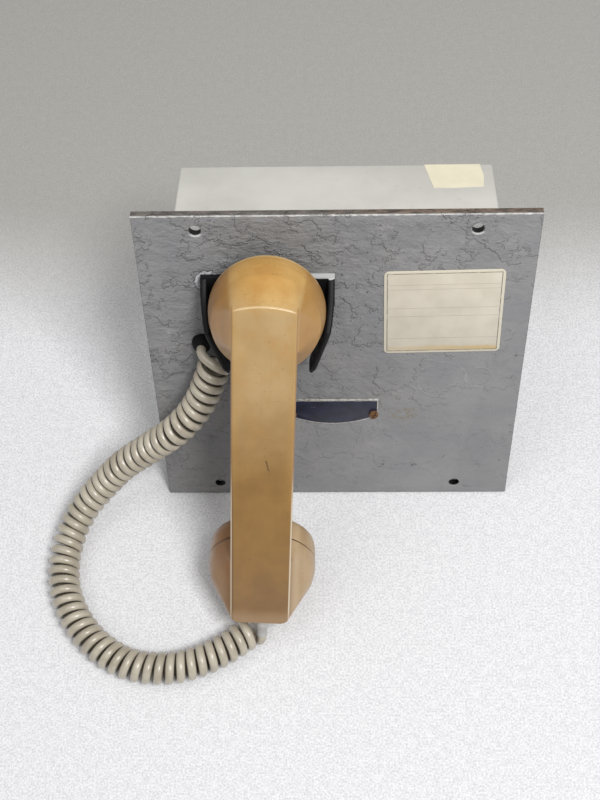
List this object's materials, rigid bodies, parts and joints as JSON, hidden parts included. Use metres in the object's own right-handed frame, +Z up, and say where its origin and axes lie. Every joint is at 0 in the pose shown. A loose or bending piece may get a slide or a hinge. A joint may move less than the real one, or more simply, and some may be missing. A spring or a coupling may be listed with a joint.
{
  "type": "wall handset station",
  "caption": "Flush-panel wall handset station: steel face plate with a boxed amplifier behind, moulded cradle with hook switch, press-bar handset and curly cord.",
  "frame": {"origin": "bottom centre of the box round the object without its cord, on the surface that it rests on, tilted back as pictured", "axes": "+X to the viewer's right, +Y from the viewer through the face plate, +Z up"},
  "size_m": [0.2876, 0.2597, 0.2136],
  "materials": {
    "face_plate": "thick grey paint over steel, flaking",
    "box": "off-white painted sheet steel",
    "steel": "plated",
    "black_moulding": "black moulded plastic",
    "black_rubber": "black rubber",
    "rating": "aged cream label, bare",
    "name": "dark blue enamelled plate, bare",
    "rusty_screw": "rusted steel",
    "brass": "brass",
    "switch_body": "dark moulded plastic",
    "board": "laminate",
    "capacitor": "sleeved can",
    "sink": "black anodised",
    "control": "plain",
    "fuse_glass": "clear tube",
    "core": "varnished laminations",
    "winding": "taped coil",
    "handset": "aged yellowed plastic",
    "capsule": "plain can",
    "press_bar": "black moulded plastic",
    "relief": "pale grey flexible plastic",
    "cord": "beige-grey jacket"
  },
  "bodies": {
    "station": {"front_panel": "face_plate", "rear_box": "box", "box_posts": "steel", "box_screws": "steel", "cable_grommet": "black_rubber", "cradle": "black_moulding", "cradle_screws": "steel", "rating_plate": "rating", "nameplate": "name", "nameplate_screws": "rusty_screw", "cord_gland": "black_rubber", "plunger_bush": "brass", "switch_bridge": "steel", "bridge_screws": "steel", "hook_switch": "switch_body", "switch_screws": "steel", "circuit_board": "board", "board_posts": "steel", "board_screws": "steel", "terminal_block": "switch_body", "terminal_screws": "brass", "smoothing_capacitors": "capacitor", "heat_sink": "sink", "output_transistors": "steel", "volume_control": "control", "fuse_clips": "brass", "fuse": "fuse_glass", "transformer_core": "core", "transformer_winding": "winding", "transformer_screws": "steel", "coil_cord": "cord"},
    "handset": {"handset_shell": "handset", "ear_cap": "handset", "receiver_capsule": "capsule", "mouth_cap": "handset", "transmitter_capsule": "capsule", "cord_relief": "relief", "press_bar_pin": "steel", "press_switch": "switch_body"},
    "press_bar": {"press_bar": "press_bar", "press_bar_spring": "steel"},
    "press_switch_button": {"press_switch_button": "switch_body"},
    "hook_plunger": {"hook_plunger": "black_moulding", "plunger_collar": "steel", "plunger_spring": "steel"},
    "switch_lever": {"switch_lever": "steel"},
    "volume_shaft": {"volume_shaft": "control"}
  },
  "joints": [
    {"name": "handset_lift", "type": "slide", "parent": "station", "child": "handset", "axis": [0, -0.6788, 0.7343], "range_m": [0, 0.2], "deforming": ["coil_cord"]},
    {"name": "plunger_travel", "type": "slide", "parent": "station", "child": "hook_plunger", "axis": [0, -0.955, 0.2965], "range_m": [0, 0.006], "deforming": ["plunger_spring"]},
    {"name": "lever_swing", "type": "hinge", "parent": "station", "child": "switch_lever", "pos_m": [-0.0469, 0.06323, 0.15524], "axis": [0, -0.2965, -0.955], "range_deg": [0, 8.05]},
    {"name": "bar_squeeze", "type": "hinge", "parent": "handset", "child": "press_bar", "pos_m": [-0.03947, -0.0192, 0.14163], "axis": [-0.9989, 0.0248, 0.0401], "range_deg": [0, 3.2], "stiffness_Nm_per_rad": 1, "springref_deg": -2.86, "deforming": ["press_bar_spring"]},
    {"name": "button_travel", "type": "slide", "parent": "handset", "child": "press_switch_button", "axis": [0, -0.8504, 0.5262], "range_m": [0, 0.00141]},
    {"name": "volume_turn", "type": "hinge", "parent": "station", "child": "volume_shaft", "pos_m": [0.011, 0.06701, 0.14046], "axis": [0, 0.955, -0.2965], "range_deg": [-140, 140]}
  ],
  "couplings": [
    {"joint": "plunger_travel", "follows": "handset_lift", "ratio": 0.03},
    {"joint": "lever_swing", "follows": "handset_lift", "rad_per_m": 0.69813},
    {"joint": "button_travel", "follows": "bar_squeeze", "m_per_rad": 0.025067}
  ]
}
